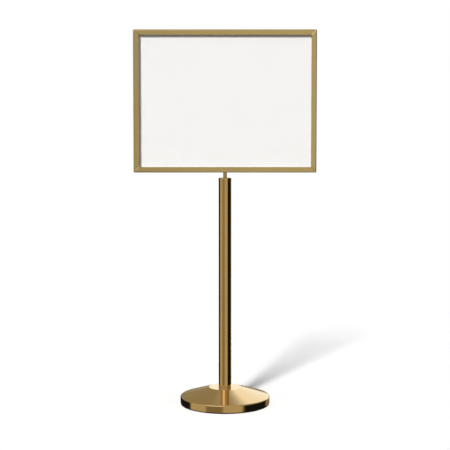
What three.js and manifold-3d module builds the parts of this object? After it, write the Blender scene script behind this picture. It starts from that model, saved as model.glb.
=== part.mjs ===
// A free-standing sign stand: weighted conical base, round post, and a landscape frame that turns on a
// short stem and holds one lift-out sign between two clear sheets.
// Millimetres. Z is up, the sign faces -Y, and the origin is on the floor on the post's axis.

import * as THREE from 'three';
import { mergeVertices } from 'three/addons/utils/BufferGeometryUtils.js';
import Module from 'manifold-3d';

const wasm = await Module();
wasm.setup();

// ---- Driving dimensions ----

const GAP = 0.3; // clearance between pieces that touch
const BASE_FACETS = 48; // sides of the large turned pieces
const POST_FACETS = 32; // sides of the post's pieces
const SMALL_FACETS = 16; // sides of the stem, its fittings and the screws

const COVER_RADIUS = 180;
const COVER_WALL = 1.2;
const COVER_FOOT_Z = 4.3; // the cover's lower edge hangs just clear of the floor
const RIM_CORNER_Z = 32; // where the cone would meet the upright rim
const SHOULDER_RADIUS = 5;
const CROWN_RADIUS = 65; // the raised flat centre
const CROWN_Z = 68;
const CROWN_EDGE_RADIUS = 3;
const BOLT_HOLE_RADIUS = 8;

const RING_INNER_RADIUS = 158;
const RING_HEIGHT = 12;
const RING_FLANGE = 4;
const RING_LIP = 1.8;

const DISC_THICKNESS = 12;
const BOSS_RADIUS = 34;
const COUNTERBORE_RADIUS = 21;
const COUNTERBORE_Z = 24.4;

const POST_RADIUS = 25.4;
const POST_WALL = 1.5;
const CAP_TOP_Z = 914;
const CAP_HEIGHT = 14;
const CAP_PROUD = 0.3; // how far the cap stands out past the tube
const CAP_SPIGOT = 26; // length of the cap inside the tube
const PLUG_LENGTH = 35;

const BOLT_RADIUS = 6; // M12
const BOLT_HEAD_ACROSS_CORNERS = 20.8;
const BOLT_HEAD_HEIGHT = 7.5;
const BOLT_TOP_Z = 98;
const WASHER_THICKNESS = 2.5;

const STEM_RADIUS = 7.2;
const STEM_LOWER_RADIUS = 5; // M10 end through the bush
const STEM_UPPER_RADIUS = 6; // M12 end in the frame's block
const STEM_UPPER_LENGTH = 11;
const BUSH_FLANGE_RADIUS = 12;
const BUSH_FLANGE = 3;
const BUSH_BODY_RADIUS = 8.5;
const NUT_ACROSS_CORNERS = 19.6;
const NUT_HEIGHT = 9.5;

const FRAME_WIDTH = 730;
const FRAME_HEIGHT = 568;
const FRAME_BOTTOM_Z = 935;
const FRAME_DEPTH = 25;
const RAIL_FACE = 22; // width of each rail seen from the front
const RAIL_WALL = 1.5;
const RAIL_EDGE_RADIUS = 5; // rounding of the frame's outer edges
const CORNER_RADIUS = 4; // rounding of the frame's four corners, seen from the front
const LIP_DEPTH = 8.5; // thickness of the hollow lips in front of and behind the sign
const GROOVE_FLOOR = 13; // from the frame's outer face to the groove's floor
const MITRE_GAP = 0.2;

const SIGN_THICKNESS = 3;
const LENS_THICKNESS = 1.5;
const SHEET_CLEARANCE = 0.5;

const KEY_ARM = 55;
const KEY_INSET = 4.5; // keeps the key's outer edge clear of the rails' rounded edges
const KEY_SCREW_AT = 38; // from the frame's outer corner, along each arm
const SCREW_RADIUS = 1.5;
const SCREW_HEAD_RADIUS = 2.9;
const SCREW_LENGTH = 5.5;
const BLOCK_LENGTH = 60;
const BLOCK_SCREW_AT = 20;

// ---- Materials ----

const brushedBrass = { color: 0xb3925a, roughness: 0.34, metalness: 1 };
const polishedBrass = { color: 0xc09a5c, roughness: 0.2, metalness: 1 };
const castIron = { color: 0x3b3a38, roughness: 0.8, metalness: 0.6 };
const zincSteel = { color: 0xa9abad, roughness: 0.4, metalness: 1 };
const blackRubber = { color: 0x17171a, roughness: 0.85, metalness: 0 };
const blackNylon = { color: 0x202022, roughness: 0.5, metalness: 0 };
const whiteBoard = { color: 0xf4f3f1, roughness: 0.6, metalness: 0 };
const clearAcrylic = { color: 0xf6f8f8, roughness: 0.08, metalness: 0, transparent: true, opacity: 0.12 };

// ---- Solids ----

/** A closed three.js geometry as a manifold solid, for cutting and joining. */
function toSolid(geometry) {
  const bare = geometry.index ? geometry.toNonIndexed() : geometry.clone();
  bare.deleteAttribute('normal');
  bare.deleteAttribute('uv');
  const merged = mergeVertices(bare, 1e-4);
  const corners = merged.index.array;
  const triangles = [];
  for (let i = 0; i < corners.length; i += 3) {
    const [a, b, c] = corners.slice(i, i + 3);
    if (a !== b && b !== c && c !== a) triangles.push(a, b, c);
  }
  return new wasm.Manifold(new wasm.Mesh({
    numProp: 3,
    vertProperties: new Float32Array(merged.attributes.position.array),
    triVerts: new Uint32Array(triangles),
  }));
}

/** A manifold solid as a three.js geometry. */
function toGeometry(solid) {
  const mesh = solid.getMesh();
  const geometry = new THREE.BufferGeometry();
  geometry.setAttribute('position', new THREE.BufferAttribute(new Float32Array(mesh.vertProperties), 3));
  geometry.setIndex(new THREE.BufferAttribute(new Uint32Array(mesh.triVerts), 1));
  geometry.computeVertexNormals();
  return geometry;
}

/** Rounds an outline's corners. Each is [x, y] or [x, y, radius], and an arc has `steps` chords. */
function rounded(corners, steps = 3) {
  const points = [];
  corners.forEach(([x, y, radius], i) => {
    const here = new THREE.Vector2(x, y);
    if (!radius) {
      points.push(here);
      return;
    }
    const before = new THREE.Vector2(...corners.at(i - 1)).sub(here).normalize();
    const after = new THREE.Vector2(...corners[(i + 1) % corners.length]).sub(here).normalize();
    const half = Math.acos(THREE.MathUtils.clamp(before.dot(after), -1, 1)) / 2;
    const centre = before.clone().add(after).normalize().multiplyScalar(radius / Math.sin(half)).add(here);
    const start = before.multiplyScalar(radius / Math.tan(half)).add(here).sub(centre);
    const end = after.multiplyScalar(radius / Math.tan(half)).add(here).sub(centre);
    const sweep = Math.atan2(start.cross(end), start.dot(end));
    for (let k = 0; k <= steps; k++) {
      points.push(start.clone().rotateAround(new THREE.Vector2(), sweep * k / steps).add(centre));
    }
  });
  return points;
}

/** A solid turned about Z. The outline is [radius, z] corners, anticlockwise with the radius to the right. */
function turned(corners, facets, steps) {
  const outline = rounded(corners, steps);
  outline.push(outline[0].clone());
  const lathe = new THREE.LatheGeometry(outline, facets);
  lathe.rotateX(Math.PI / 2);
  return toSolid(lathe);
}

/** A ring between two radii and two heights. */
function ring(inner, outer, bottom, top, facets) {
  return turned([[inner, bottom], [outer, bottom], [outer, top], [inner, top]], facets);
}

/** An upright prism between two heights: a hexagon, or a round bar with more sides. */
function bar(radius, bottom, top, sides) {
  const cylinder = new THREE.CylinderGeometry(radius, radius, top - bottom, sides);
  cylinder.rotateX(Math.PI / 2);
  cylinder.translate(0, 0, (bottom + top) / 2);
  return toSolid(cylinder);
}

/** A flat outline extruded along +Z from z = 0. */
function extruded(outline, depth) {
  return new THREE.ExtrudeGeometry(new THREE.Shape(outline), { depth, bevelEnabled: false });
}

function box(low, high) {
  const size = high.map((value, i) => value - low[i]);
  const block = new THREE.BoxGeometry(...size);
  block.translate(...low.map((value, i) => value + size[i] / 2));
  return toSolid(block);
}

const assembly = new THREE.Group();

/** Adds one named piece to a group. */
function piece(group, name, solid, look) {
  const mesh = new THREE.Mesh(toGeometry(solid), new THREE.MeshStandardMaterial(look));
  mesh.name = name;
  group.add(mesh);
  return mesh;
}

// ---- Base ----

/** The height of the cover's cone at a radius, on the outside. */
function coneHeight(radius) {
  const fall = (CROWN_Z - RIM_CORNER_Z) / (COVER_RADIUS - CROWN_RADIUS);
  return CROWN_Z - fall * (radius - CROWN_RADIUS);
}

function baseCover() {
  const slope = Math.atan((CROWN_Z - RIM_CORNER_Z) / (COVER_RADIUS - CROWN_RADIUS));
  const drop = COVER_WALL / Math.cos(slope);
  const innerRadius = COVER_RADIUS - COVER_WALL;
  const innerCrown = CROWN_RADIUS - COVER_WALL * Math.tan(slope / 2);
  return turned([
    [innerRadius, COVER_FOOT_Z],
    [COVER_RADIUS, COVER_FOOT_Z],
    [COVER_RADIUS, RIM_CORNER_Z, SHOULDER_RADIUS],
    [CROWN_RADIUS, CROWN_Z, CROWN_EDGE_RADIUS],
    [BOLT_HOLE_RADIUS, CROWN_Z],
    [BOLT_HOLE_RADIUS, CROWN_Z - COVER_WALL],
    [innerCrown, CROWN_Z - COVER_WALL],
    [innerRadius, coneHeight(innerRadius) - drop, SHOULDER_RADIUS - COVER_WALL],
  ], BASE_FACETS, 3);
}

function floorRing() {
  const outer = COVER_RADIUS - COVER_WALL - GAP;
  return turned([
    [RING_INNER_RADIUS, 0],
    [outer, 0, 1],
    [outer, RING_HEIGHT],
    [outer - RING_LIP, RING_HEIGHT],
    [outer - RING_LIP, RING_FLANGE],
    [RING_INNER_RADIUS, RING_FLANGE],
  ], BASE_FACETS, 1);
}

function baseWeight() {
  const bottom = RING_FLANGE + GAP;
  const outer = COVER_RADIUS - COVER_WALL - GAP - RING_LIP - GAP;
  const discTop = bottom + DISC_THICKNESS;
  return turned([
    [COUNTERBORE_RADIUS, bottom],
    [outer, bottom],
    [outer, discTop, 3],
    [BOSS_RADIUS + 12, discTop + 6],
    [BOSS_RADIUS, discTop + 26],
    [BOSS_RADIUS, CROWN_Z - COVER_WALL - GAP],
    [BOLT_HOLE_RADIUS, CROWN_Z - COVER_WALL - GAP],
    [BOLT_HOLE_RADIUS, COUNTERBORE_Z],
    [COUNTERBORE_RADIUS, COUNTERBORE_Z],
  ], BASE_FACETS, 2);
}

const washerTop = COUNTERBORE_Z - GAP;
const lockWasherTop = washerTop - WASHER_THICKNESS - GAP;
const boltHeadTop = lockWasherTop - WASHER_THICKNESS - GAP;

function baseBolt() {
  const head = bar(BOLT_HEAD_ACROSS_CORNERS / 2, boltHeadTop - BOLT_HEAD_HEIGHT, boltHeadTop, 6);
  return head.add(bar(BOLT_RADIUS, boltHeadTop - 1, BOLT_TOP_Z, SMALL_FACETS));
}

function baseLockWasher() {
  const inner = BOLT_RADIUS + 2 * GAP;
  const outer = BOLT_HEAD_ACROSS_CORNERS / 2;
  const whole = ring(inner, outer, lockWasherTop - WASHER_THICKNESS, lockWasherTop, SMALL_FACETS);
  return whole.subtract(box([0, -1, 0], [outer + 1, 1, lockWasherTop + 1]));
}

// ---- Post ----

const tubeBottom = CROWN_Z + GAP;
const capBottom = CAP_TOP_Z - CAP_HEIGHT;
const boreRadius = POST_RADIUS - POST_WALL;
const spigotBottom = capBottom - CAP_SPIGOT;
const bushTop = CAP_TOP_Z;
const flangeBottom = bushTop - BUSH_FLANGE;

function postFootPlug() {
  const outer = boreRadius - GAP;
  return turned([
    [BOLT_RADIUS + 2 * GAP, tubeBottom],
    [outer, tubeBottom],
    [outer, tubeBottom + PLUG_LENGTH, 2],
    [BOLT_RADIUS + 2 * GAP, tubeBottom + PLUG_LENGTH],
  ], POST_FACETS, 1);
}

function postCap() {
  return turned([
    [BUSH_BODY_RADIUS + GAP, spigotBottom],
    [boreRadius - GAP, spigotBottom, 2],
    [boreRadius - GAP, capBottom],
    [POST_RADIUS + CAP_PROUD, capBottom],
    [POST_RADIUS + CAP_PROUD, CAP_TOP_Z, 2],
    [BUSH_FLANGE_RADIUS + GAP, CAP_TOP_Z],
    [BUSH_FLANGE_RADIUS + GAP, flangeBottom - GAP],
    [BUSH_BODY_RADIUS + GAP, flangeBottom - GAP],
  ], POST_FACETS, 2);
}

function stemBush() {
  const bore = STEM_LOWER_RADIUS + GAP;
  return turned([
    [bore, spigotBottom],
    [BUSH_BODY_RADIUS, spigotBottom],
    [BUSH_BODY_RADIUS, flangeBottom],
    [BUSH_FLANGE_RADIUS, flangeBottom],
    [BUSH_FLANGE_RADIUS, bushTop],
    [bore, bushTop],
  ], POST_FACETS);
}

// ---- Stem ----

const stemWasherTop = spigotBottom - GAP;
const nutTop = stemWasherTop - WASHER_THICKNESS - GAP;
const nutBottom = nutTop - NUT_HEIGHT;

function stem() {
  const foot = bushTop + GAP;
  const shoulder = FRAME_BOTTOM_Z - GAP;
  const tip = nutBottom - 4;
  return turned([
    [0, tip],
    [STEM_LOWER_RADIUS, tip, 1],
    [STEM_LOWER_RADIUS, foot],
    [STEM_RADIUS, foot],
    [STEM_RADIUS, shoulder],
    [STEM_UPPER_RADIUS, shoulder],
    [STEM_UPPER_RADIUS, shoulder + STEM_UPPER_LENGTH, 1],
    [0, shoulder + STEM_UPPER_LENGTH],
  ], SMALL_FACETS, 1);
}

function stemNut() {
  const hexagon = bar(NUT_ACROSS_CORNERS / 2, nutBottom, nutTop, 6);
  return hexagon.subtract(bar(STEM_LOWER_RADIUS + GAP, nutBottom - 1, nutTop + 1, SMALL_FACETS));
}

// ---- Frame ----
// A rail is drawn along X with its outer face on z = 0 and its groove opening towards +Z.

const halfDepth = FRAME_DEPTH / 2;
const lipInner = halfDepth - LIP_DEPTH; // half the groove's width

/** A rail's section as [depth, height] corners: the half in front of its middle, then its mirror. */
function railOutline() {
  const front = [
    [-lipInner, GROOVE_FLOOR],
    [-lipInner, RAIL_FACE, 0.8],
    [-halfDepth, RAIL_FACE, 0.8],
    [-halfDepth, 0, RAIL_EDGE_RADIUS],
  ];
  const back = front.map(([y, z, radius]) => [-y, z, radius]).reverse();
  return rounded([...front, ...back], 3);
}

/** The hollow inside the section, one wall's thickness in. */
function railHollow() {
  const front = [
    [-lipInner - RAIL_WALL, GROOVE_FLOOR - RAIL_WALL],
    [-lipInner - RAIL_WALL, RAIL_FACE - RAIL_WALL],
    [-halfDepth + RAIL_WALL, RAIL_FACE - RAIL_WALL],
    [-halfDepth + RAIL_WALL, RAIL_WALL, RAIL_EDGE_RADIUS - RAIL_WALL],
  ];
  const back = front.map(([y, z, radius]) => [-y, z, radius]).reverse();
  return rounded([...front, ...back], 3);
}

/** The slab that a rail is cut to, which rounds its two outer corners as seen from the front. */
function cornerTrim(length) {
  const half = length / 2;
  const outline = rounded([
    [-half, RAIL_FACE + 1],
    [-half, 0, CORNER_RADIUS],
    [half, 0, CORNER_RADIUS],
    [half, RAIL_FACE + 1],
  ], 4);
  const slab = extruded(outline, FRAME_DEPTH + 2);
  slab.rotateX(Math.PI / 2);
  slab.translate(0, halfDepth + 1, 0);
  return toSolid(slab);
}

/** A hollow rail with mitred ends: each point of the section runs shorter the further in it is. */
function rail(length) {
  const shape = new THREE.Shape(railOutline());
  shape.holes.push(new THREE.Path(railHollow()));
  const prism = new THREE.ExtrudeGeometry(shape, { depth: 1, bevelEnabled: false });
  const position = prism.attributes.position;
  for (let i = 0; i < position.count; i++) {
    const [y, z, end] = [position.getX(i), position.getY(i), position.getZ(i)];
    const half = length / 2 - z - MITRE_GAP;
    position.setXYZ(i, end > 0.5 ? half : -half, y, z);
  }
  return toSolid(prism).intersect(cornerTrim(length));
}

/** The slot through the top rail that the sign and its clear sheets drop into. */
function insertSlot() {
  const throat = FRAME_WIDTH / 2 - GROOVE_FLOOR;
  const mouth = box([-throat, -lipInner, -1], [throat, lipInner, GROOVE_FLOOR]);
  const inner = GROOVE_FLOOR - RAIL_WALL - 1;
  return mouth.add(box([-throat - 2, -lipInner, inner], [throat + 2, lipInner, GROOVE_FLOOR + 1]));
}

/** A countersunk hole that runs from a face at z = 0 down to a depth. */
function countersink(depth) {
  const hole = SCREW_RADIUS + GAP;
  const head = SCREW_HEAD_RADIUS + GAP;
  return turned([
    [0, -depth],
    [hole, -depth],
    [hole, hole - head],
    [head, 0],
    [head, 1],
    [0, 1],
  ], SMALL_FACETS);
}

/** A countersunk screw with a hexagon socket, its head flush with z = 0. */
function screw(length) {
  const recess = 0.1;
  const body = turned([
    [0, -length],
    [SCREW_RADIUS, -length, 0.5],
    [SCREW_RADIUS, SCREW_RADIUS - SCREW_HEAD_RADIUS - recess],
    [SCREW_HEAD_RADIUS, -recess],
    [0, -recess],
  ], SMALL_FACETS, 1);
  return body.subtract(bar(1.15, -1.3, 1, 6));
}

/** The two places of the key screws on a rail of some length, measured along it from its middle. */
function keyScrewPlaces(length) {
  return [-1, 1].map((side) => side * (length / 2 - KEY_SCREW_AT));
}

const keyScrewHeight = RAIL_FACE / 2;

/** Cuts the key screws' countersunk holes in the back of a rail. */
function withKeyScrewHoles(solid, length) {
  return keyScrewPlaces(length).reduce((body, x) => {
    const hole = countersink(RAIL_WALL + 1).rotate([-90, 0, 0]).translate([x, halfDepth, keyScrewHeight]);
    return body.subtract(hole);
  }, solid);
}

function withBlockHoles(solid) {
  const stemHole = bar(STEM_UPPER_RADIUS + 2 * GAP, -1, RAIL_WALL + 1, SMALL_FACETS);
  return [-1, 1].reduce((body, side) => {
    const hole = countersink(RAIL_WALL + 1).rotate([180, 0, 0]).translate([side * BLOCK_SCREW_AT, 0, 0]);
    return body.subtract(hole);
  }, solid.subtract(stemHole));
}

/** The block inside the bottom rail, drilled for the stem and its own two screws. */
function stemBlock() {
  const low = RAIL_WALL + GAP;
  const high = GROOVE_FLOOR - RAIL_WALL - GAP;
  const halfWidth = halfDepth - RAIL_EDGE_RADIUS;
  let block = box([-BLOCK_LENGTH / 2, -halfWidth, low], [BLOCK_LENGTH / 2, halfWidth, high]);
  block = block.subtract(bar(STEM_UPPER_RADIUS + GAP, 0, high + 1, SMALL_FACETS));
  for (const side of [-1, 1]) {
    const hole = bar(SCREW_RADIUS + GAP, 0, high + 1, SMALL_FACETS);
    block = block.subtract(hole.translate([side * BLOCK_SCREW_AT, 0, 0]));
  }
  return block;
}

/** An L-shaped plate that joins two rails inside their lips, corner at the origin, arms along +X and +Z. */
function cornerKey(drilled) {
  const low = KEY_INSET;
  const high = RAIL_FACE - RAIL_WALL - 2 * GAP;
  const outline = rounded([
    [low, low, 2],
    [low + KEY_ARM, low, 1.5],
    [low + KEY_ARM, high, 1.5],
    [high, high, 1],
    [high, low + KEY_ARM, 1.5],
    [low, low + KEY_ARM, 1.5],
  ], 1);
  const thickness = LIP_DEPTH - 2 * (RAIL_WALL + GAP);
  const plate = extruded(outline, thickness);
  plate.rotateX(Math.PI / 2);
  plate.translate(0, thickness / 2, 0);
  const solid = toSolid(plate);
  if (!drilled) return solid;
  const hole = bar(SCREW_RADIUS + GAP, -thickness, thickness, SMALL_FACETS).rotate([90, 0, 0]);
  const places = [[KEY_SCREW_AT, 0, keyScrewHeight], [keyScrewHeight, 0, KEY_SCREW_AT]];
  return places.reduce((body, place) => body.subtract(hole.translate(place)), solid);
}

// ---- Sign ----

const sheetWidth = FRAME_WIDTH - 2 * (GROOVE_FLOOR + SHEET_CLEARANCE);
const sheetBottom = FRAME_BOTTOM_Z + GROOVE_FLOOR + GAP;
const sheetTop = FRAME_BOTTOM_Z + FRAME_HEIGHT - GROOVE_FLOOR;
const lensMiddle = SIGN_THICKNESS / 2 + SHEET_CLEARANCE + LENS_THICKNESS / 2;

/** A flat sheet in the groove, centred on a depth. */
function sheet(thickness, middle) {
  const [near, far] = [middle - thickness / 2, middle + thickness / 2];
  return box([-sheetWidth / 2, near, sheetBottom], [sheetWidth / 2, far, sheetTop]);
}

// ---- Assembly ----

function addBase() {
  const base = new THREE.Group();
  piece(base, 'base_cover', baseCover(), brushedBrass);
  piece(base, 'base_weight', baseWeight(), castIron);
  piece(base, 'floor_ring', floorRing(), blackRubber);
  piece(base, 'base_bolt', baseBolt(), zincSteel);
  const washer = ring(BOLT_RADIUS + 2 * GAP, 14, washerTop - WASHER_THICKNESS, washerTop, SMALL_FACETS);
  piece(base, 'base_washer', washer, zincSteel);
  piece(base, 'base_lock_washer', baseLockWasher(), zincSteel);
  assembly.add(base);
}

function addPost() {
  const post = new THREE.Group();
  const tube = ring(boreRadius, POST_RADIUS, tubeBottom, capBottom - GAP, POST_FACETS);
  piece(post, 'post_tube', tube, polishedBrass);
  piece(post, 'post_foot_plug', postFootPlug(), zincSteel);
  piece(post, 'post_cap', postCap(), polishedBrass);
  piece(post, 'stem_bush', stemBush(), blackNylon);
  assembly.add(post);
}

function addStem(head) {
  piece(head, 'stem', stem(), polishedBrass);
  const bottom = stemWasherTop - WASHER_THICKNESS;
  const washer = ring(STEM_LOWER_RADIUS + GAP, 11, bottom, stemWasherTop, SMALL_FACETS);
  piece(head, 'stem_washer', washer, zincSteel);
  piece(head, 'stem_nut', stemNut(), zincSteel);
  piece(head, 'stem_block', stemBlock(), zincSteel).position.z = FRAME_BOTTOM_Z;
  for (const [side, word] of [[-1, 'left'], [1, 'right']]) {
    const mesh = piece(head, `stem_block_screw_${word}`, screw(SCREW_LENGTH + 3), zincSteel);
    mesh.position.set(side * BLOCK_SCREW_AT, 0, FRAME_BOTTOM_Z);
    mesh.rotation.x = Math.PI;
  }
}

function addRails(head) {
  const middle = FRAME_BOTTOM_Z + FRAME_HEIGHT / 2;
  const wide = withKeyScrewHoles(rail(FRAME_WIDTH), FRAME_WIDTH);
  const tall = withKeyScrewHoles(rail(FRAME_HEIGHT), FRAME_HEIGHT);
  const bottom = piece(head, 'frame_bottom_rail', withBlockHoles(wide), brushedBrass);
  bottom.position.z = FRAME_BOTTOM_Z;
  const top = piece(head, 'frame_top_rail', wide.subtract(insertSlot()), brushedBrass);
  top.position.z = FRAME_BOTTOM_Z + FRAME_HEIGHT;
  top.rotation.y = Math.PI;
  const left = piece(head, 'frame_left_stile', tall, brushedBrass);
  left.position.set(-FRAME_WIDTH / 2, 0, middle);
  left.rotation.y = Math.PI / 2;
  const right = piece(head, 'frame_right_stile', tall, brushedBrass);
  right.position.set(FRAME_WIDTH / 2, 0, middle);
  right.rotation.y = -Math.PI / 2;
}

/** One corner of the frame: its place, and the turn about Y that takes the bottom left corner there. */
const corners = [
  { word: 'bottom_left', x: -1, z: 0, turn: 0 },
  { word: 'bottom_right', x: 1, z: 0, turn: -Math.PI / 2 },
  { word: 'top_right', x: 1, z: 1, turn: Math.PI },
  { word: 'top_left', x: -1, z: 1, turn: Math.PI / 2 },
];

function addCorner(head, { word, x, z, turn }) {
  const corner = new THREE.Group();
  corner.position.set(x * FRAME_WIDTH / 2, 0, FRAME_BOTTOM_Z + z * FRAME_HEIGHT);
  corner.rotation.y = turn;
  const keyDepth = halfDepth - LIP_DEPTH / 2;
  piece(corner, `front_key_${word}`, cornerKey(false), zincSteel).position.y = -keyDepth;
  piece(corner, `back_key_${word}`, cornerKey(true), zincSteel).position.y = keyDepth;
  const places = [[KEY_SCREW_AT, keyScrewHeight], [keyScrewHeight, KEY_SCREW_AT]];
  places.forEach(([along, up], i) => {
    const mesh = piece(corner, `key_screw_${word}_${i + 1}`, screw(SCREW_LENGTH), zincSteel);
    mesh.position.set(along, halfDepth, up);
    mesh.rotation.x = -Math.PI / 2;
  });
  head.add(corner);
}

function addHead() {
  const head = new THREE.Group();
  addStem(head);
  addRails(head);
  corners.forEach((corner) => addCorner(head, corner));
  piece(head, 'sign_board', sheet(SIGN_THICKNESS, 0), whiteBoard);
  piece(head, 'front_lens', sheet(LENS_THICKNESS, -lensMiddle), clearAcrylic);
  piece(head, 'back_lens', sheet(LENS_THICKNESS, lensMiddle), clearAcrylic);
  assembly.add(head);
}

addBase();
addPost();
addHead();

export default assembly;
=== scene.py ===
"""The looks of the sign stand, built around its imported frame. Metres, +Z up, and the sign faces -Y."""

import math

import bpy
import bmesh
from mathutils import Matrix, Vector
from mathutils.geometry import tessellate_polygon


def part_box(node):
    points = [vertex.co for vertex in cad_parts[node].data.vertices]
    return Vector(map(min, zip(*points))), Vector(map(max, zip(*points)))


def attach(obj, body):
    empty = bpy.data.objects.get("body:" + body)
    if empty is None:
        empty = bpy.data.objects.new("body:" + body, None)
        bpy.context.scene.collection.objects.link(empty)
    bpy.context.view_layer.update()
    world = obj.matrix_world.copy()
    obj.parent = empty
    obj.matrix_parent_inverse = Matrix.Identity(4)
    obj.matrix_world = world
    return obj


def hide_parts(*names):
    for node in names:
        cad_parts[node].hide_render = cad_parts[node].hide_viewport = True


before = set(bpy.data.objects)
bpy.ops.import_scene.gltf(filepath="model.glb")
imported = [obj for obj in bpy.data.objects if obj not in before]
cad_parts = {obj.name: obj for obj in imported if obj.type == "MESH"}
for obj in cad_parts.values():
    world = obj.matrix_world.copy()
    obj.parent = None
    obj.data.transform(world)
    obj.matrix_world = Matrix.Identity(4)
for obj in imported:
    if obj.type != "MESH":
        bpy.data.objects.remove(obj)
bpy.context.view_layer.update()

MM = 0.001

# ---- Sizes that the frame's boxes don't give, the same as in the part's source ----

COVER_WALL = 1.2 * MM
RIM_CORNER_Z = 32 * MM  # where the cone would meet the upright rim
SHOULDER_RADIUS = 5 * MM
CROWN_RADIUS = 65 * MM
CROWN_EDGE_RADIUS = 3 * MM
BOLT_HOLE_RADIUS = 8 * MM
RING_FLANGE = 4 * MM
RING_LIP = 1.8 * MM
RING_INNER_RADIUS = 158 * MM
BOSS_RADIUS = 34 * MM
COUNTERBORE_RADIUS = 21 * MM
COUNTERBORE_Z = 24.4 * MM
DISC_THICKNESS = 12 * MM
POST_WALL = 1.5 * MM
BOLT_HEAD_FLATS = 18 * MM
BOLT_HEAD_HEIGHT = 7.5 * MM
BOLT_RADIUS = 6 * MM
NUT_FLATS = 17 * MM
STEM_LOWER_RADIUS = 5 * MM
STEM_UPPER_RADIUS = 6 * MM
STEM_UPPER_LENGTH = 11 * MM
BUSH_BODY_RADIUS = 8.5 * MM
BUSH_FLANGE = 3 * MM
CAP_HEIGHT = 14 * MM
RAIL_WALL = 1.5 * MM
RAIL_EDGE_RADIUS = 5 * MM
LIP_EDGE_RADIUS = 0.8 * MM
LIP_DEPTH = 8.5 * MM
GROOVE_FLOOR = 13 * MM
CORNER_RADIUS = 4 * MM
MITRE_GAP = 0.2 * MM
KEY_SCREW_AT = 38 * MM
BLOCK_SCREW_AT = 20 * MM
SCREW_RADIUS = 1.5 * MM
SCREW_HEAD_RADIUS = 2.9 * MM
SOCKET_FLATS = 2 * MM
GAP = 0.3 * MM

# ---- Meshes ----

SUPPORT = 0.4 * MM  # how far a support point stands from the end of its line


def rounded(corners, steps=6, support=True):
    """An outline as (x, y, wear) points. A corner is (x, y) or (x, y, radius), and wear is 1 in mid-arc."""
    points = []
    for i, (x, y, *radius) in enumerate(corners):
        here = Vector((x, y))
        if not radius:
            points.append((x, y, 0.0))
            continue
        before = (Vector(corners[i - 1][:2]) - here).normalized()
        after = (Vector(corners[(i + 1) % len(corners)][:2]) - here).normalized()
        half = before.angle(after) / 2
        centre = here + (before + after).normalized() * (radius[0] / math.sin(half))
        start = here + before * (radius[0] / math.tan(half)) - centre
        end = here + after * (radius[0] / math.tan(half)) - centre
        sweep = math.atan2(start.x * end.y - start.y * end.x, start.dot(end))
        for k in range(steps + 1):
            point = centre + Matrix.Rotation(sweep * k / steps, 2) @ start
            points.append((point.x, point.y, math.sin(math.pi * k / steps)))
    has_arcs = any(len(corner) > 2 for corner in corners)
    return supported(points) if support and has_arcs else points


def supported(points):
    """The same outline with a point just inside both ends of its long lines, to keep their shading flat."""
    held = []
    for i, (x, y, wear) in enumerate(points):
        held.append((x, y, wear))
        here = Vector((x, y))
        after = Vector(points[(i + 1) % len(points)][:2])
        if (after - here).length > 4 * SUPPORT and max(abs(x), abs(after.x)) > SUPPORT:
            step = (after - here).normalized() * SUPPORT
            held += [(*(here + step), 0.0), (*(after - step), 0.0)]
    return held


def new_object(name, vertices, faces, wear):
    """A mesh object whose vertices carry a wear number."""
    mesh = bpy.data.meshes.new(name)
    mesh.from_pydata(vertices, [], faces)
    mesh.attributes.new("wear", "FLOAT", "POINT").data.foreach_set("value", wear)
    work = bmesh.new()
    work.from_mesh(mesh)
    bmesh.ops.remove_doubles(work, verts=work.verts, dist=1e-7)
    bmesh.ops.recalc_face_normals(work, faces=work.faces)
    work.to_mesh(mesh)
    work.free()
    obj = bpy.data.objects.new(name, mesh)
    bpy.context.scene.collection.objects.link(obj)
    return obj


def smooth(obj, degrees):
    """Smooth shading that keeps edges sharper than an angle."""
    obj.data.shade_smooth()
    obj.data.set_sharp_from_angle(angle=math.radians(degrees))


def hexagon_reach(angle, flats):
    """How far a hexagon reaches from its middle at an angle."""
    sector = math.pi / 3
    return flats / 2 / math.cos((angle + sector / 2) % sector - sector / 2)


def turned(name, corners, facets=144, flats=None, steps=6, wear_share=1.0):
    """A solid turned about Z from (radius, z) corners. What is wider than `flats` is cut to a hexagon."""
    outline = rounded(corners, steps)
    vertices = []
    wear = []
    for k in range(facets):
        angle = 2 * math.pi * k / facets
        for radius, z, worn in outline:
            reach = min(radius, hexagon_reach(angle, flats)) if flats else radius
            vertices.append((reach * math.cos(angle), reach * math.sin(angle), z))
            wear.append(worn * wear_share)
    count = len(outline)
    faces = []
    for k in range(facets):
        for i in range(count):
            j = (i + 1) % count
            if outline[i][0] < 1e-9 and outline[j][0] < 1e-9:
                continue
            here, there = k * count, (k + 1) % facets * count
            faces.append((here + i, there + i, there + j, here + j))
    return new_object(name, vertices, faces, wear)


def slab(name, low, high, edge):
    """A rectangular sheet with softly broken edges."""
    work = bmesh.new()
    bmesh.ops.create_cube(work, size=1)
    size = high - low
    bmesh.ops.scale(work, vec=size, verts=work.verts)
    bmesh.ops.translate(work, vec=(low + high) / 2, verts=work.verts)
    bmesh.ops.bevel(work, geom=work.edges[:], offset=edge, segments=3, profile=0.5, affect="EDGES")
    mesh = bpy.data.meshes.new(name)
    work.to_mesh(mesh)
    work.free()
    mesh.attributes.new("wear", "FLOAT", "POINT")
    obj = bpy.data.objects.new(name, mesh)
    bpy.context.scene.collection.objects.link(obj)
    return obj


def cut(obj, cutters):
    """Subtracts the cutters from a piece and removes them."""
    for cutter in cutters:
        modifier = obj.modifiers.new("cut", "BOOLEAN")
        modifier.operation = "DIFFERENCE"
        modifier.solver = "EXACT"
        modifier.object = cutter
    graph = bpy.context.evaluated_depsgraph_get()
    mesh = bpy.data.meshes.new_from_object(obj.evaluated_get(graph), depsgraph=graph)
    obj.modifiers.clear()
    obj.data = mesh
    for cutter in cutters:
        bpy.data.objects.remove(cutter)


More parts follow.
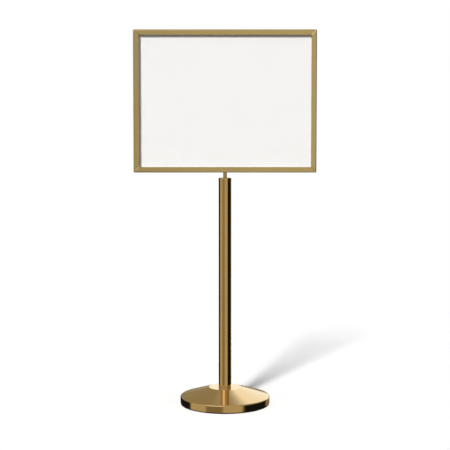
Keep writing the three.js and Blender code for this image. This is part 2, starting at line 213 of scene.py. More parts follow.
def place(obj, matrix):
    """Moves a piece's mesh, and leaves its object at the origin."""
    obj.data.transform(matrix)
    return obj


def finished(obj, body, material, crease=30):
    """Gives a piece its material and shading and its CAD body, and hides the CAD node it stands for."""
    smooth(obj, crease)
    obj.data.materials.clear()
    obj.data.materials.append(material)
    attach(obj, body)
    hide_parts(obj.name.removesuffix("_fine"))
    return obj


# ---- Shader helpers ----


def add(tree, kind, inputs=None, **settings):
    """A node with its settings made. An input's value is a number, a colour or another node's socket."""
    made = tree.nodes.new(kind)
    for key, value in settings.items():
        setattr(made, key, value)
    for key, value in (inputs or {}).items():
        if isinstance(value, bpy.types.NodeSocket):
            tree.links.new(value, made.inputs[key])
        else:
            made.inputs[key].default_value = value
    return made


def maths(tree, operation, *values):
    made = add(tree, "ShaderNodeMath", operation=operation)
    for i, value in enumerate(values):
        if isinstance(value, bpy.types.NodeSocket):
            tree.links.new(value, made.inputs[i])
        else:
            made.inputs[i].default_value = value
    return made.outputs[0]


def between(tree, value, low, high, to_low=0.0, to_high=1.0, easing="SMOOTHSTEP"):
    """A value mapped from one range to another, and held at its ends."""
    inputs = {"Value": value, "From Min": low, "From Max": high, "To Min": to_low, "To Max": to_high}
    return add(tree, "ShaderNodeMapRange", inputs, interpolation_type=easing).outputs["Result"]


def blend(tree, factor, first, second):
    """A colour between two colours."""
    made = add(tree, "ShaderNodeMix", data_type="RGBA")
    for key, value in (("Factor_Float", factor), ("A_Color", first), ("B_Color", second)):
        socket = next(s for s in made.inputs if s.identifier == key)
        if isinstance(value, bpy.types.NodeSocket):
            tree.links.new(value, socket)
        else:
            socket.default_value = value
    return next(s for s in made.outputs if s.identifier == "Result_Color")


def stretched(tree, vector, factors):
    inputs = {0: vector, 1: factors}
    return add(tree, "ShaderNodeVectorMath", inputs, operation="MULTIPLY").outputs[0]


def noise(tree, vector, scale=1.0, detail=2.0, roughness=0.5):
    inputs = {"Vector": vector, "Scale": scale, "Detail": detail, "Roughness": roughness}
    return add(tree, "ShaderNodeTexNoise", inputs).outputs["Fac"]


def new_material(name):
    """A material with only its output and a Principled shader: (material, tree, shader)."""
    material = bpy.data.materials.new(name)
    material.use_nodes = True
    tree = material.node_tree
    tree.nodes.clear()
    shader = add(tree, "ShaderNodeBsdfPrincipled")
    output = add(tree, "ShaderNodeOutputMaterial")
    tree.links.new(shader.outputs[0], output.inputs[0])
    return material, tree, shader


def object_position(tree):
    return add(tree, "ShaderNodeTexCoord").outputs["Object"]


def around_axis(tree, position, path_scale, turn_scale):
    """Coordinates for rings about Z: quick along the outline, slow round the axis, and with no seam."""
    parts = add(tree, "ShaderNodeSeparateXYZ", {0: position}).outputs
    x_squared = maths(tree, "MULTIPLY", parts[0], parts[0])
    y_squared = maths(tree, "MULTIPLY", parts[1], parts[1])
    radius = maths(tree, "SQRT", maths(tree, "ADD", x_squared, y_squared))
    safe = maths(tree, "MAXIMUM", radius, 1e-4)
    path = maths(tree, "MULTIPLY", maths(tree, "SUBTRACT", radius, parts[2]), path_scale)
    across = maths(tree, "MULTIPLY", maths(tree, "DIVIDE", parts[0], safe), turn_scale)
    along = maths(tree, "MULTIPLY", maths(tree, "DIVIDE", parts[1], safe), turn_scale)
    return add(tree, "ShaderNodeCombineXYZ", {0: path, 1: across, 2: along}).outputs[0]


# ---- Materials ----

# The brasses are clean, worn and tarnished, and the other surfaces mottle between two shades.
POLISHED = ((0.80, 0.60, 0.33, 1), (0.86, 0.69, 0.44, 1), (0.64, 0.43, 0.19, 1))
BRUSHED = ((0.82, 0.71, 0.46, 1), (0.88, 0.78, 0.55, 1), (0.66, 0.51, 0.27, 1))
IRON_BLACKS = ((0.012, 0.012, 0.012, 1), (0.03, 0.029, 0.028, 1))
RUBBER_BLACKS = ((0.010, 0.010, 0.011, 1), (0.022, 0.022, 0.023, 1))
NYLON_BLACKS = ((0.015, 0.015, 0.016, 1), (0.03, 0.03, 0.032, 1))
ZINC_GREYS = ((0.52, 0.53, 0.54, 1), (0.64, 0.65, 0.66, 1))
BOARD_WHITES = ((0.905, 0.895, 0.88, 1), (0.925, 0.917, 0.903, 1))


def brass(name, colours, grain, roughness, grain_depth, coat_roughness, coat=1.0):
    """Lacquered brass. `grain` makes the coordinates that its fine brushed lines run along."""
    clean, worn, tarnished = colours
    material, tree, shader = new_material(name)
    position = object_position(tree)
    lines = noise(tree, grain(tree, position), detail=3.0, roughness=0.65)
    clouds = noise(tree, position, scale=9.0, detail=4.0, roughness=0.6)
    smudges = noise(tree, position, scale=38.0, detail=5.0, roughness=0.7)
    wear = add(tree, "ShaderNodeAttribute", attribute_name="wear").outputs["Fac"]
    rubbed = maths(tree, "MULTIPLY", wear, between(tree, smudges, 0.35, 0.65))
    aged = blend(tree, between(tree, clouds, 0.45, 0.8, 0.0, 0.22), clean, tarnished)
    lined = blend(tree, between(tree, lines, 0.3, 0.75, 0.0, 0.10), aged, tarnished)
    colour = blend(tree, maths(tree, "MULTIPLY", rubbed, 0.6), lined, worn)
    rough = between(tree, lines, 0.25, 0.75, roughness * 0.85, roughness * 1.15, "LINEAR")
    rough = maths(tree, "ADD", rough, between(tree, smudges, 0.5, 0.8, 0.0, 0.05))
    bump = add(tree, "ShaderNodeBump", {"Height": lines, "Strength": 0.5, "Distance": grain_depth})
    tree.links.new(colour, shader.inputs["Base Color"])
    tree.links.new(rough, shader.inputs["Roughness"])
    tree.links.new(bump.outputs[0], shader.inputs["Normal"])
    shader.inputs["Metallic"].default_value = 1.0
    shader.inputs["Coat Weight"].default_value = coat
    shader.inputs["Coat Roughness"].default_value = coat_roughness
    shader.inputs["Coat IOR"].default_value = 1.5
    return material


def straight_grain(factors):
    return lambda tree, position: stretched(tree, position, factors)


def ring_grain(path_scale, turn_scale):
    return lambda tree, position: around_axis(tree, position, path_scale, turn_scale)


def plain(name, colours, roughness, metallic=0.0, scale=300.0, bump_depth=0.05 * MM, spread=0.08):
    """A surface with fine mottling between two colours, and with as fine a grain in its gloss and relief."""
    material, tree, shader = new_material(name)
    position = object_position(tree)
    fine = noise(tree, position, scale=scale, detail=4.0, roughness=0.6)
    broad = noise(tree, position, scale=12.0, detail=3.0)
    mottled = maths(tree, "ADD", maths(tree, "MULTIPLY", fine, 0.6), maths(tree, "MULTIPLY", broad, 0.4))
    colour = blend(tree, between(tree, mottled, 0.35, 0.65), *colours)
    rough = between(tree, mottled, 0.3, 0.7, roughness - spread, roughness + spread)
    bump = add(tree, "ShaderNodeBump", {"Height": fine, "Strength": 0.4, "Distance": bump_depth})
    tree.links.new(colour, shader.inputs["Base Color"])
    tree.links.new(rough, shader.inputs["Roughness"])
    tree.links.new(bump.outputs[0], shader.inputs["Normal"])
    shader.inputs["Metallic"].default_value = metallic
    return material


def clear_sheet(name):
    """Clear acrylic: mostly see-through, with faint hazy wipe marks in its gloss."""
    material, tree, shader = new_material(name)
    position = object_position(tree)
    wipes = noise(tree, stretched(tree, position, (3.0, 1.0, 9.0)), scale=6.0, detail=5.0, roughness=0.65)
    tree.links.new(between(tree, wipes, 0.3, 0.7, 0.03, 0.09), shader.inputs["Roughness"])
    shade = blend(tree, between(tree, wipes, 0.4, 0.8), (0.97, 0.98, 0.98, 1), (0.93, 0.94, 0.94, 1))
    tree.links.new(shade, shader.inputs["Base Color"])
    shader.inputs["IOR"].default_value = 1.49
    shader.inputs["Alpha"].default_value = 0.1
    return material


ALONG_X = straight_grain((14, 2600, 2600))
ALONG_Z = straight_grain((2600, 2600, 14))
rail_brass = {
    "x": brass("brushed_brass_across", BRUSHED, ALONG_X, 0.2, 0.02 * MM, 0.2),
    "z": brass("brushed_brass_upright", BRUSHED, ALONG_Z, 0.2, 0.02 * MM, 0.2),
}
post_brass = brass("polished_brass", POLISHED, ring_grain(2400, 6), 0.07, 0.002 * MM, 0.03)
spun_brass = brass("spun_brass", POLISHED, ring_grain(1800, 5), 0.08, 0.003 * MM, 0.03)
cast_iron = plain("painted_cast_iron", IRON_BLACKS, 0.6, 0.0, 220, 0.5 * MM)
rubber = plain("black_rubber", RUBBER_BLACKS, 0.8, 0.0, 500, 0.08 * MM)
nylon = plain("black_nylon", NYLON_BLACKS, 0.45, 0.0, 700, 0.02 * MM)
zinc = plain("zinc_steel", ZINC_GREYS, 0.34, 1.0, 420, 0.02 * MM)
board_white = plain("white_board", BOARD_WHITES, 0.55, 0.0, 900, 0.02 * MM)
acrylic = clear_sheet("clear_acrylic")


# ---- Base ----

cover_low, cover_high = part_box("base_cover")
COVER_RADIUS = cover_high.x
CROWN_Z = cover_high.z
CONE_SLOPE = math.atan((CROWN_Z - RIM_CORNER_Z) / (COVER_RADIUS - CROWN_RADIUS))


def cone_height(radius):
    """The height of the cover's cone at a radius, on the outside."""
    return CROWN_Z - math.tan(CONE_SLOPE) * (radius - CROWN_RADIUS)


def base_cover():
    drop = COVER_WALL / math.cos(CONE_SLOPE)
    inner = COVER_RADIUS - COVER_WALL
    under_crown = CROWN_Z - COVER_WALL
    edge = 0.5 * MM
    cover = turned("base_cover_fine", [
        (inner, cover_low.z, edge),
        (COVER_RADIUS, cover_low.z, edge),
        (COVER_RADIUS, RIM_CORNER_Z, SHOULDER_RADIUS),
        (CROWN_RADIUS, CROWN_Z, CROWN_EDGE_RADIUS),
        (BOLT_HOLE_RADIUS, CROWN_Z, 0.2 * MM),
        (BOLT_HOLE_RADIUS, under_crown, 0.2 * MM),
        (CROWN_RADIUS - COVER_WALL * math.tan(CONE_SLOPE / 2), under_crown),
        (inner, cone_height(inner) - drop, SHOULDER_RADIUS - COVER_WALL),
    ], facets=240, steps=10)
    finished(cover, "stand", spun_brass)


def floor_ring():
    _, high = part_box("floor_ring")
    outer = high.x
    groove = 1.2 * MM
    corners = [(RING_INNER_RADIUS, 0, 0.6 * MM)]
    for k in range(3):  # grooves that let the ring grip
        middle = RING_INNER_RADIUS + (outer - RING_INNER_RADIUS) * (k + 1) / 4
        corners += [(middle - groove, 0), (middle - groove / 2, groove), (middle + groove / 2, groove)]
        corners += [(middle + groove, 0)]
    corners += [
        (outer, 0, 1 * MM),
        (outer, high.z, 0.4 * MM),
        (outer - RING_LIP, high.z, 0.4 * MM),
        (outer - RING_LIP, RING_FLANGE),
        (RING_INNER_RADIUS, RING_FLANGE, 0.4 * MM),
    ]
    finished(turned("floor_ring_fine", corners, facets=240, steps=3), "stand", rubber)


def base_weight():
    low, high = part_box("base_weight")
    disc_top = low.z + DISC_THICKNESS
    weight = turned("base_weight_fine", [
        (COUNTERBORE_RADIUS, low.z, 1 * MM),
        (high.x, low.z, 2 * MM),
        (high.x, disc_top, 4 * MM),
        (BOSS_RADIUS + 12 * MM, disc_top + 6 * MM, 12 * MM),
        (BOSS_RADIUS, disc_top + 26 * MM, 10 * MM),
        (BOSS_RADIUS, high.z, 2 * MM),
        (BOLT_HOLE_RADIUS, high.z, 0.5 * MM),
        (BOLT_HOLE_RADIUS, COUNTERBORE_Z, 0.5 * MM),
        (COUNTERBORE_RADIUS, COUNTERBORE_Z, 1 * MM),
    ], facets=192, steps=5)
    finished(weight, "stand", cast_iron)


def thread(radius, start, end, pitch=1.75 * MM, depth=0.7 * MM):
    """The turned outline of a threaded length, one crest for each pitch, from one height to another."""
    count = int(abs(end - start) / pitch)
    step = (end - start) / count
    corners = []
    for k in range(count):
        corners += [(radius, start + step * (k + 0.15)), (radius, start + step * (k + 0.35))]
        corners += [(radius - depth, start + step * (k + 0.7))]
    return corners


def base_fasteners():
    low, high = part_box("base_bolt")
    head_top = low.z + BOLT_HEAD_HEIGHT
    chamfer = 0.8 * MM
    reach = BOLT_HEAD_FLATS / 2
    bolt = turned("base_bolt_fine", [
        (0, low.z),
        (reach * 0.94, low.z),
        (reach * 1.16, low.z + chamfer * 1.6),
        (reach * 1.16, head_top),
        (BOLT_RADIUS, head_top, 0.4 * MM),
        *thread(BOLT_RADIUS, head_top + 40 * MM, high.z - 1 * MM),
        (BOLT_RADIUS - 1 * MM, high.z),
        (0, high.z),
    ], facets=96, flats=BOLT_HEAD_FLATS, steps=3)
    finished(bolt, "stand", zinc)
    low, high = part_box("base_washer")
    washer = turned("base_washer_fine", [
        (BOLT_RADIUS + 2 * GAP, low.z, 0.2 * MM),
        (high.x, low.z, 0.4 * MM),
        (high.x, high.z, 0.4 * MM),
        (BOLT_RADIUS + 2 * GAP, high.z, 0.2 * MM),
    ], facets=96, steps=3)
    finished(washer, "stand", zinc)


# ---- Post ----

tube_low, tube_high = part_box("post_tube")
cap_low, cap_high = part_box("post_cap")
POST_RADIUS = tube_high.x
BORE_RADIUS = POST_RADIUS - POST_WALL


def post_tube():
    edge = 0.3 * MM
    tube = turned("post_tube_fine", [
        (BORE_RADIUS, tube_low.z),
        (POST_RADIUS, tube_low.z, edge),
        (POST_RADIUS, tube_high.z, edge),
        (BORE_RADIUS, tube_high.z),
    ], steps=4)
    return finished(tube, "stand", post_brass)


def post_cap():
    seat = BUSH_BODY_RADIUS + GAP
    _, bush_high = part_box("stem_bush")
    counterbore = bush_high.x + GAP
    counterbore_z = cap_high.z - BUSH_FLANGE - GAP
    collar_z = cap_high.z - CAP_HEIGHT
    cap = turned("post_cap_fine", [
        (seat, cap_low.z),
        (BORE_RADIUS - GAP, cap_low.z, 2 * MM),
        (BORE_RADIUS - GAP, collar_z),
        (cap_high.x, collar_z, 0.3 * MM),
        (cap_high.x, cap_high.z, 2 * MM),
        (counterbore, cap_high.z, 0.3 * MM),
        (counterbore, counterbore_z),
        (seat, counterbore_z),
    ])
    return finished(cap, "stand", post_brass)


def post_fittings():
    low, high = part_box("post_foot_plug")
    plug = turned("post_foot_plug_fine", [
        (BOLT_RADIUS + 2 * GAP, low.z, 0.6 * MM),
        (high.x, low.z, 0.6 * MM),
        (high.x, high.z, 2 * MM),
        (BOLT_RADIUS + 2 * GAP, high.z, 0.6 * MM),
    ], facets=96, steps=3)
    finished(plug, "stand", zinc)
    low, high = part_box("stem_bush")
    bore = STEM_LOWER_RADIUS + GAP
    bush = turned("stem_bush_fine", [
        (bore, low.z, 0.4 * MM),
        (BUSH_BODY_RADIUS, low.z, 0.8 * MM),
        (BUSH_BODY_RADIUS, high.z - BUSH_FLANGE),
        (high.x, high.z - BUSH_FLANGE),
        (high.x, high.z, 0.6 * MM),
        (bore, high.z, 0.4 * MM),
    ], facets=96, steps=4)
    finished(bush, "stand", nylon)


# ---- Stem ----


def stem():
    low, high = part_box("stem")
    foot = cap_high.z + GAP
    shoulder = high.z - STEM_UPPER_LENGTH
    rod = turned("stem_fine", [
        (0, low.z),
        (STEM_LOWER_RADIUS - 1 * MM, low.z),
        *thread(STEM_LOWER_RADIUS, low.z + 1 * MM, low.z + 18 * MM, 1.5 * MM, 0.6 * MM),
        (STEM_LOWER_RADIUS, foot),
        (high.x, foot, 0.5 * MM),
        (high.x, shoulder, 0.5 * MM),
        (STEM_UPPER_RADIUS, shoulder),
        *thread(STEM_UPPER_RADIUS, shoulder + 1 * MM, high.z - 1 * MM),
        (STEM_UPPER_RADIUS - 1 * MM, high.z),
        (0, high.z),
    ], facets=96, steps=4)
    finished(rod, "head", post_brass)


def stem_fittings():
    low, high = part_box("stem_washer")
    bore = STEM_LOWER_RADIUS + GAP
    washer = turned("stem_washer_fine", [
        (bore, low.z, 0.2 * MM),
        (high.x, low.z, 0.4 * MM),
        (high.x, high.z, 0.4 * MM),
        (bore, high.z, 0.2 * MM),
    ], facets=96, steps=3)
    finished(washer, "head", zinc)
    low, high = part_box("stem_nut")
    reach = NUT_FLATS / 2
    rise = 1.2 * MM
    nut = turned("stem_nut_fine", [
        (bore, low.z, 0.3 * MM),
        (reach * 0.95, low.z),
        (reach * 1.16, low.z + rise),
        (reach * 1.16, high.z - rise),
        (reach * 0.95, high.z),
        (bore, high.z, 0.3 * MM),
    ], facets=96, flats=NUT_FLATS, steps=3)
    finished(nut, "head", zinc)


# ---- Frame ----
# A rail is drawn along X with its outer face on z = 0 and its groove opening towards +Z.

frame_low = Vector((
    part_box("frame_left_stile")[0].x,
    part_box("frame_bottom_rail")[0].y,
    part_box("frame_bottom_rail")[0].z,
))
frame_high = Vector((
    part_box("frame_right_stile")[1].x,
    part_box("frame_top_rail")[1].y,
    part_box("frame_top_rail")[1].z,
))
frame_middle = (frame_low + frame_high) / 2
FRAME_WIDTH = frame_high.x - frame_low.x
FRAME_HEIGHT = frame_high.z - frame_low.z
HALF_DEPTH = (frame_high.y - frame_low.y) / 2
RAIL_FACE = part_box("frame_bottom_rail")[1].z - frame_low.z
LIP_INNER = HALF_DEPTH - LIP_DEPTH  # half the groove's width
SEAM_REACH = 4.5 * MM  # how far along a rail its softened mitre edge reaches
SEAM_DEPTH = 0.5 * MM


def rail_section(inset, edge_radius, support=True):
    """A rail's outline as (depth, height, wear) points, moved in from its faces by `inset`."""
    front = [
        (-LIP_INNER - inset, GROOVE_FLOOR - inset),
        (-LIP_INNER - inset, RAIL_FACE - inset, LIP_EDGE_RADIUS),
        (-HALF_DEPTH + inset, RAIL_FACE - inset, LIP_EDGE_RADIUS),
        (-HALF_DEPTH + inset, inset, edge_radius),
    ]
    back = [(-depth, *rest) for depth, *rest in reversed(front)]
    return rounded(front + back, 8, support)


def seam_distances():
    """How far from the mitre each loop of a rail stands, closely spaced near the seam."""
    near = [SEAM_REACH * k / 8 for k in range(9)]
    return near + [6 * MM, 9 * MM, 16 * MM, 40 * MM, 100 * MM, 200 * MM]


def softened(depth, height, distance):
    """A section point drawn in towards the section's middle near the mitre, as an eased edge is."""
    ease = max(0.0, 1 - distance / SEAM_REACH) ** 2 * SEAM_DEPTH
    middle = GROOVE_FLOOR - RAIL_WALL
    depth -= math.copysign(min(ease, abs(depth)), depth) if abs(depth) > LIP_INNER + 1e-6 else 0.0
    height += ease if height < middle / 2 else 0.0
    return depth, height


def around_corner(length, x, height):
    """A point near a rail's outer end moved inside the frame's rounded corner."""
    across = length / 2 - CORNER_RADIUS
    reach = Vector((abs(x) - across, CORNER_RADIUS - height))
    if reach.x > 0 and reach.y > 0 and reach.length > CORNER_RADIUS:
        reach = reach.normalized() * CORNER_RADIUS
        return math.copysign(across + reach.x, x), CORNER_RADIUS - reach.y
    return x, height


def rail_mesh(name, length):
    """A hollow rail with mitred ends, its outer corners rounded and its seams softened."""
    outer = rail_section(0.0, RAIL_EDGE_RADIUS)
    inner = rail_section(RAIL_WALL, RAIL_EDGE_RADIUS - RAIL_WALL, support=False)
    distances = seam_distances()
    stations = [(-1, d) for d in distances] + [(1, d) for d in reversed(distances)]
    vertices = []
    wear = []
    for side, distance in stations:
        for depth, height, worn in outer:
            depth, height = softened(depth, height, distance)
            x = side * (length / 2 - MITRE_GAP - height - distance)
            x, height = around_corner(length, x, height)
            vertices.append((x, depth, height))
            wear.append(max(worn, 1 - distance / SEAM_REACH))
    inner_start = len(vertices)
    for side in (-1, 1):
        for depth, height, _ in inner:
            vertices.append((side * (length / 2 - MITRE_GAP - height), depth, height))
            wear.append(0.0)
    faces = []
    count = len(outer)
    for k in range(len(stations) - 1):
        for i in range(count):
            j = (i + 1) % count
            faces.append((k * count + i, k * count + j, (k + 1) * count + j, (k + 1) * count + i))
    for i in range(len(inner)):
        j = (i + 1) % len(inner)
        far = inner_start + len(inner)
        faces.append((inner_start + i, far + i, far + j, inner_start + j))
    for loop, ring_start in ((0, inner_start), (len(stations) - 1, inner_start + len(inner))):
        ids = [loop * count + i for i in range(count)] + [ring_start + i for i in range(len(inner))]
        flat = [Vector((vertices[v][1], vertices[v][2], 0)) for v in ids]
        for triangle in tessellate_polygon([flat[:count], flat[count:]]):
            faces.append(tuple(ids[v] for v in triangle))
    return new_object(name, vertices, faces, wear)


def countersink(x, turn, y=0.0, z=0.0):
    """A cutter for a countersunk hole whose face is on z = 0, turned and then moved."""
    hole = SCREW_RADIUS + GAP
    head = SCREW_HEAD_RADIUS + GAP
    over = 1 * MM
    cutter = turned("cutter", [
        (0, -RAIL_WALL - over),
        (hole, -RAIL_WALL - over),
        (hole, hole - head),
        (head, 0),
        (head + over, over),
        (0, over),
    ], facets=48)
    return place(cutter, Matrix.Translation((x, y, z)) @ Matrix.Rotation(turn, 4, "X"))


def key_holes(length):
    places = [side * (length / 2 - KEY_SCREW_AT) for side in (-1, 1)]
    return [countersink(x, -math.pi / 2, HALF_DEPTH, RAIL_FACE / 2) for x in places]


def block_holes():
    radius = STEM_UPPER_RADIUS + 2 * GAP
    stem_hole = turned("cutter", [
        (0, -1 * MM),
        (radius + 1.4 * MM, -1 * MM),
        (radius, 0.4 * MM),
        (radius, RAIL_WALL + 1 * MM),
        (0, RAIL_WALL + 1 * MM),
    ], facets=64)
    return [stem_hole] + [countersink(side * BLOCK_SCREW_AT, math.pi) for side in (-1, 1)]


def prism_x(name, outline, low_x, high_x):
    """A solid with a (y, z) outline, from one x to another."""
    count = len(outline)
    vertices = [(x, y, z) for x in (low_x, high_x) for y, z in outline]
    faces = [tuple(range(count)), tuple(range(count, 2 * count))]
    for i in range(count):
        j = (i + 1) % count
        faces.append((i, j, count + j, count + i))
    return new_object(name, vertices, faces, [0.0] * len(vertices))


def insert_slot():
    """Cutters for the slot that the sheets drop into: its mouth, and its deeper, longer throat."""
    throat = FRAME_WIDTH / 2 - GROOVE_FLOOR
    flare = 0.6 * MM
    over = 1 * MM
    inner = GROOVE_FLOOR - RAIL_WALL - over
    mouth = [
        (-LIP_INNER, GROOVE_FLOOR - over),
        (-LIP_INNER, flare),
        (-LIP_INNER - flare - over, -over),
        (LIP_INNER + flare + over, -over),
        (LIP_INNER, flare),
        (LIP_INNER, GROOVE_FLOOR - over),
    ]
    deep = [
        (-LIP_INNER, inner),
        (LIP_INNER, inner),
        (LIP_INNER, GROOVE_FLOOR + over),
        (-LIP_INNER, GROOVE_FLOOR + over),
    ]
    reach = throat + 2 * MM
    return [prism_x("cutter", mouth, -throat, throat), prism_x("cutter", deep, -reach, reach)]


def rails():
    """The four rails: name, length, grain, how the rail is turned about Y, and where its outer face is."""
    quarter = math.pi / 2
    middle = frame_middle
    plans = [
        ("frame_bottom_rail", FRAME_WIDTH, "x", 0, (middle.x, middle.y, frame_low.z), block_holes()),
        ("frame_top_rail", FRAME_WIDTH, "x", 2 * quarter, (middle.x, middle.y, frame_high.z), insert_slot()),
        ("frame_left_stile", FRAME_HEIGHT, "z", quarter, (frame_low.x, middle.y, middle.z), []),
        ("frame_right_stile", FRAME_HEIGHT, "z", -quarter, (frame_high.x, middle.y, middle.z), []),
    ]
    for node, length, grain, turn, at, cutters in plans:
        rail = rail_mesh(node + "_fine", length)
        cut(rail, key_holes(length) + cutters)
        place(rail, Matrix.Translation(at) @ Matrix.Rotation(turn, 4, "Y"))
        finished(rail, "head", rail_brass[grain])


def screw(node, length, facing):
    """A countersunk screw with a hexagon socket, centred on its node. Its head faces `facing`."""
    low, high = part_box(node)
    recess = 0.1 * MM
    socket = SOCKET_FLATS / 2
    flank = SCREW_HEAD_RADIUS - SCREW_RADIUS
    made = turned(node + "_fine", [
        (0, -length),
        (SCREW_RADIUS * 0.6, -length),
        (SCREW_RADIUS, -length + 0.5 * MM),
        (SCREW_RADIUS, -flank - recess),
        (SCREW_HEAD_RADIUS, -recess - 0.15 * MM),
        (SCREW_HEAD_RADIUS - 0.15 * MM, -recess),
        (socket * 1.25, -recess),
        (socket * 1.15, -recess - 0.1 * MM),
        (socket * 1.15, -1.3 * MM),
        (0, -1.6 * MM),
    ], facets=48)
    for vertex in made.data.vertices:
        reach = Vector((vertex.co.x, vertex.co.y, 0)).length
        if 1e-6 < reach < socket * 1.2 and -1.5 * MM < vertex.co.z < -recess - 0.05 * MM:
            limit = hexagon_reach(math.atan2(vertex.co.y, vertex.co.x), SOCKET_FLATS)
            vertex.co.x *= limit / reach
            vertex.co.y *= limit / reach
    centre = (low + high) / 2
    if facing.y:
        at = Vector((centre.x, high.y + recess, centre.z))
    else:
        at = Vector((centre.x, centre.y, low.z - recess))
    place(made, Matrix.Translation(at) @ facing.to_track_quat("Z", "Y").to_matrix().to_4x4())
    finished(made, "head", zinc)


def screws():
    for corner in ("bottom_left", "bottom_right", "top_right", "top_left"):
        for number in (1, 2):
            screw(f"key_screw_{corner}_{number}", 5.5 * MM, Vector((0, 1, 0)))
    for side in ("left", "right"):
        screw(f"stem_block_screw_{side}", 8.5 * MM, Vector((0, 0, -1)))


# ---- Sheets ----


def sheets():
    plans = [
        ("sign_board", "sign", "white_board", board_white, 0.4 * MM),
        ("front_lens", "front_lens", "clear_acrylic", acrylic, 0.25 * MM),
        ("back_lens", "back_lens", "clear_acrylic", acrylic, 0.25 * MM),
    ]
    for node, body, slot, material, edge in plans:
        finished(slab(node + "_fine", *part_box(node), edge), body, material, crease=10)


def hidden_pieces():
    """The CAD nodes that stay, out of sight inside the frame and the base, with a finish of their own."""
    for node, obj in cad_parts.items():
        if "_key_" in node or node in ("stem_block", "base_lock_washer"):
            obj.data.materials.clear()
            obj.data.materials.append(zinc)


# ---- Studio ----

ROOM = (0.32, 0.26, 0.14, 1)
DARK_BELOW = (0.12, 0.08, 0.04, 1)
FLAG_BLACK = (0.01, 0.01, 0.01, 1)
WARM_WHITE = (0.5, 0.42, 0.25, 1)
BRIGHT_WHITE = (1.1, 1.05, 0.9, 1)
PANEL_EDGE = 10  # degrees over which a panel's edge fades, as with a diffuser

# The soft panels and black flags that stand around the object, in degrees: the middle's azimuth (0 at the
# front, +90 at the right) and elevation, half the width, half the height, and the colour of the light.
STUDIO_PANELS = {
    "left_softbox": (-75, 0, 20, 60, WARM_WHITE),
    "right_softbox": (20, 0, 20, 60, WARM_WHITE),
    "front_softbox": (-30, 35, 20, 15, BRIGHT_WHITE),
    "back_softbox": (160, 25, 20, 15, BRIGHT_WHITE),
    "left_flag": (-135, -10, 30, 15, FLAG_BLACK),
    "right_flag": (90, -10, 35, 15, FLAG_BLACK),
    "overhead": (0, 90, 180, 20, WARM_WHITE),
}


def panel_share(tree, azimuth, elevation, panel):
    """1 where a direction meets the panel, 0 outside it, and in between along its soft edge."""
    middle_azimuth, middle_elevation, half_width, half_height, _ = panel
    offset = maths(tree, "SUBTRACT", azimuth, math.radians(middle_azimuth))
    across = maths(tree, "ABSOLUTE", maths(tree, "WRAP", offset, math.pi, -math.pi))
    up = maths(tree, "ABSOLUTE", maths(tree, "SUBTRACT", elevation, math.radians(middle_elevation)))
    shares = [
        between(tree, away, math.radians(half + PANEL_EDGE), math.radians(half))
        for away, half in ((across, half_width), (up, half_height))
    ]
    return maths(tree, "MULTIPLY", *shares)


def surroundings():
    """A dim room with soft panels that only the gloss sees, and a plain white backdrop for the camera."""
    world = bpy.data.worlds.new("studio")
    bpy.context.scene.world = world
    world.use_nodes = True
    tree = world.node_tree
    tree.nodes.clear()
    direction = add(tree, "ShaderNodeTexCoord").outputs["Generated"]
    parts = add(tree, "ShaderNodeSeparateXYZ", {0: direction}).outputs
    azimuth = maths(tree, "ARCTAN2", parts[0], maths(tree, "MULTIPLY", parts[1], -1.0))
    elevation = maths(tree, "ARCSINE", parts[2])
    above_floor = between(tree, elevation, math.radians(-30), 0.0)
    colour = blend(tree, above_floor, DARK_BELOW, ROOM)
    for panel in STUDIO_PANELS.values():
        colour = blend(tree, panel_share(tree, azimuth, elevation, panel), colour, panel[-1])
    seen = add(tree, "ShaderNodeLightPath").outputs["Is Camera Ray"]
    shown = blend(tree, seen, colour, (1, 1, 1, 1))
    background = add(tree, "ShaderNodeBackground", {"Color": shown, "Strength": 1.0})
    output = add(tree, "ShaderNodeOutputWorld")
    tree.links.new(background.outputs[0], output.inputs[0])
    world.cycles_visibility.diffuse = False


def sun(name, azimuth, elevation, strength, spread):
    """A soft light from far off that lights matt surfaces and casts shadows, and isn't mirrored."""
    light = bpy.data.lights.new(name, "SUN")
    light.energy = strength
    light.angle = math.radians(spread)
    obj = bpy.data.objects.new(name, light)
    across, up = math.radians(azimuth), math.radians(elevation)
    towards = Vector((math.sin(across) * math.cos(up), -math.cos(across) * math.cos(up), math.sin(up)))
    obj.rotation_mode = "QUATERNION"
    obj.rotation_quaternion = towards.to_track_quat("Z", "Y")
    obj.visible_glossy = False
    bpy.context.scene.collection.objects.link(obj)
    return obj.light_linking


def picked(name, state, *objects):
    """A collection that a light takes in or leaves out: INCLUDE or EXCLUDE."""
    group = bpy.data.collections.new(name)
    for obj in objects:
        group.objects.link(obj)
    for entry in group.collection_objects:
        entry.light_linking.link_state = state
    return group


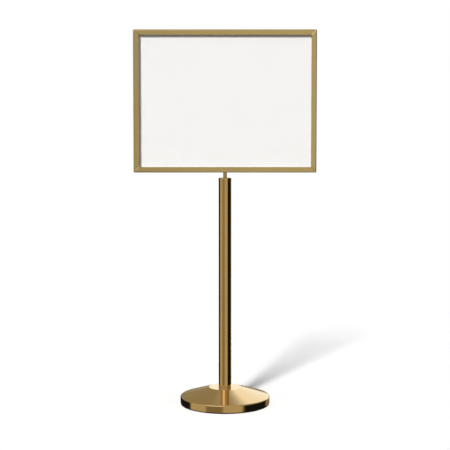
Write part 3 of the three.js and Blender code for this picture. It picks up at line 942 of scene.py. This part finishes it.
def lights(ground, post):
    """One light for the stand, one that casts the post's shadow on the floor, and a broad fill."""
    key = sun("key", azimuth=-42, elevation=36, strength=4.1, spread=10)
    key.receiver_collection = picked("off_the_floor", "EXCLUDE", ground)
    floor_key = sun("floor_key", azimuth=-21, elevation=29, strength=5.4, spread=11)
    floor_key.receiver_collection = picked("floor_only", "INCLUDE", ground)
    floor_key.blocker_collection = picked("post_shadow", "INCLUDE", *post)
    sun("fill", azimuth=0, elevation=50, strength=1.1, spread=150)
    back_light = sun("back_light", azimuth=155, elevation=35, strength=2.6, spread=60)
    back_light.receiver_collection = picked("off_the_floor_too", "EXCLUDE", ground)


FLOOR_HALF = 14.0
FLOOR_FADE = (1.6, 2.8)  # distance from the stand over which shadows fade to plain white


def floor():
    mesh = bpy.data.meshes.new("floor")
    corners = [(-FLOOR_HALF, -FLOOR_HALF, 0), (FLOOR_HALF, -FLOOR_HALF, 0)]
    corners += [(FLOOR_HALF, FLOOR_HALF, 0), (-FLOOR_HALF, FLOOR_HALF, 0)]
    mesh.from_pydata(corners, [], [(0, 1, 2, 3)])
    obj = bpy.data.objects.new("floor", mesh)
    bpy.context.scene.collection.objects.link(obj)
    material, tree, shader = new_material("pale_floor")
    reach = add(tree, "ShaderNodeVectorMath", {0: object_position(tree)}, operation="LENGTH").outputs["Value"]
    fade = between(tree, reach, *FLOOR_FADE)
    tree.links.new(blend(tree, fade, (0.9, 0.9, 0.9, 1), (0, 0, 0, 1)), shader.inputs["Base Color"])
    shader.inputs["Roughness"].default_value = 0.9
    shader.inputs["Specular IOR Level"].default_value = 0.0
    shader.inputs["Emission Color"].default_value = (1, 1, 1, 1)
    tree.links.new(fade, shader.inputs["Emission Strength"])
    mesh.materials.append(material)
    obj.visible_glossy = False
    obj.visible_diffuse = False
    return obj


def camera():
    """A long lens in front of the stand, a little above its middle and tipped slightly down."""
    data = bpy.data.cameras.new("camera")
    data.lens = 90
    data.sensor_width = 36
    data.shift_y = -0.05
    data.dof.use_dof = False
    obj = bpy.data.objects.new("camera", data)
    obj.location = (0.0, -4.5, 1.093)
    obj.rotation_euler = (math.radians(90 - 3.54), 0, 0)
    bpy.context.scene.collection.objects.link(obj)
    bpy.context.scene.camera = obj


# ---- Scene ----

base_cover()
floor_ring()
base_weight()
base_fasteners()
post = [post_tube(), post_cap()]
post_fittings()
stem()
stem_fittings()
rails()
screws()
sheets()
hidden_pieces()

camera()
surroundings()
lights(floor(), post)
bpy.context.scene.view_settings.view_transform = "Standard"
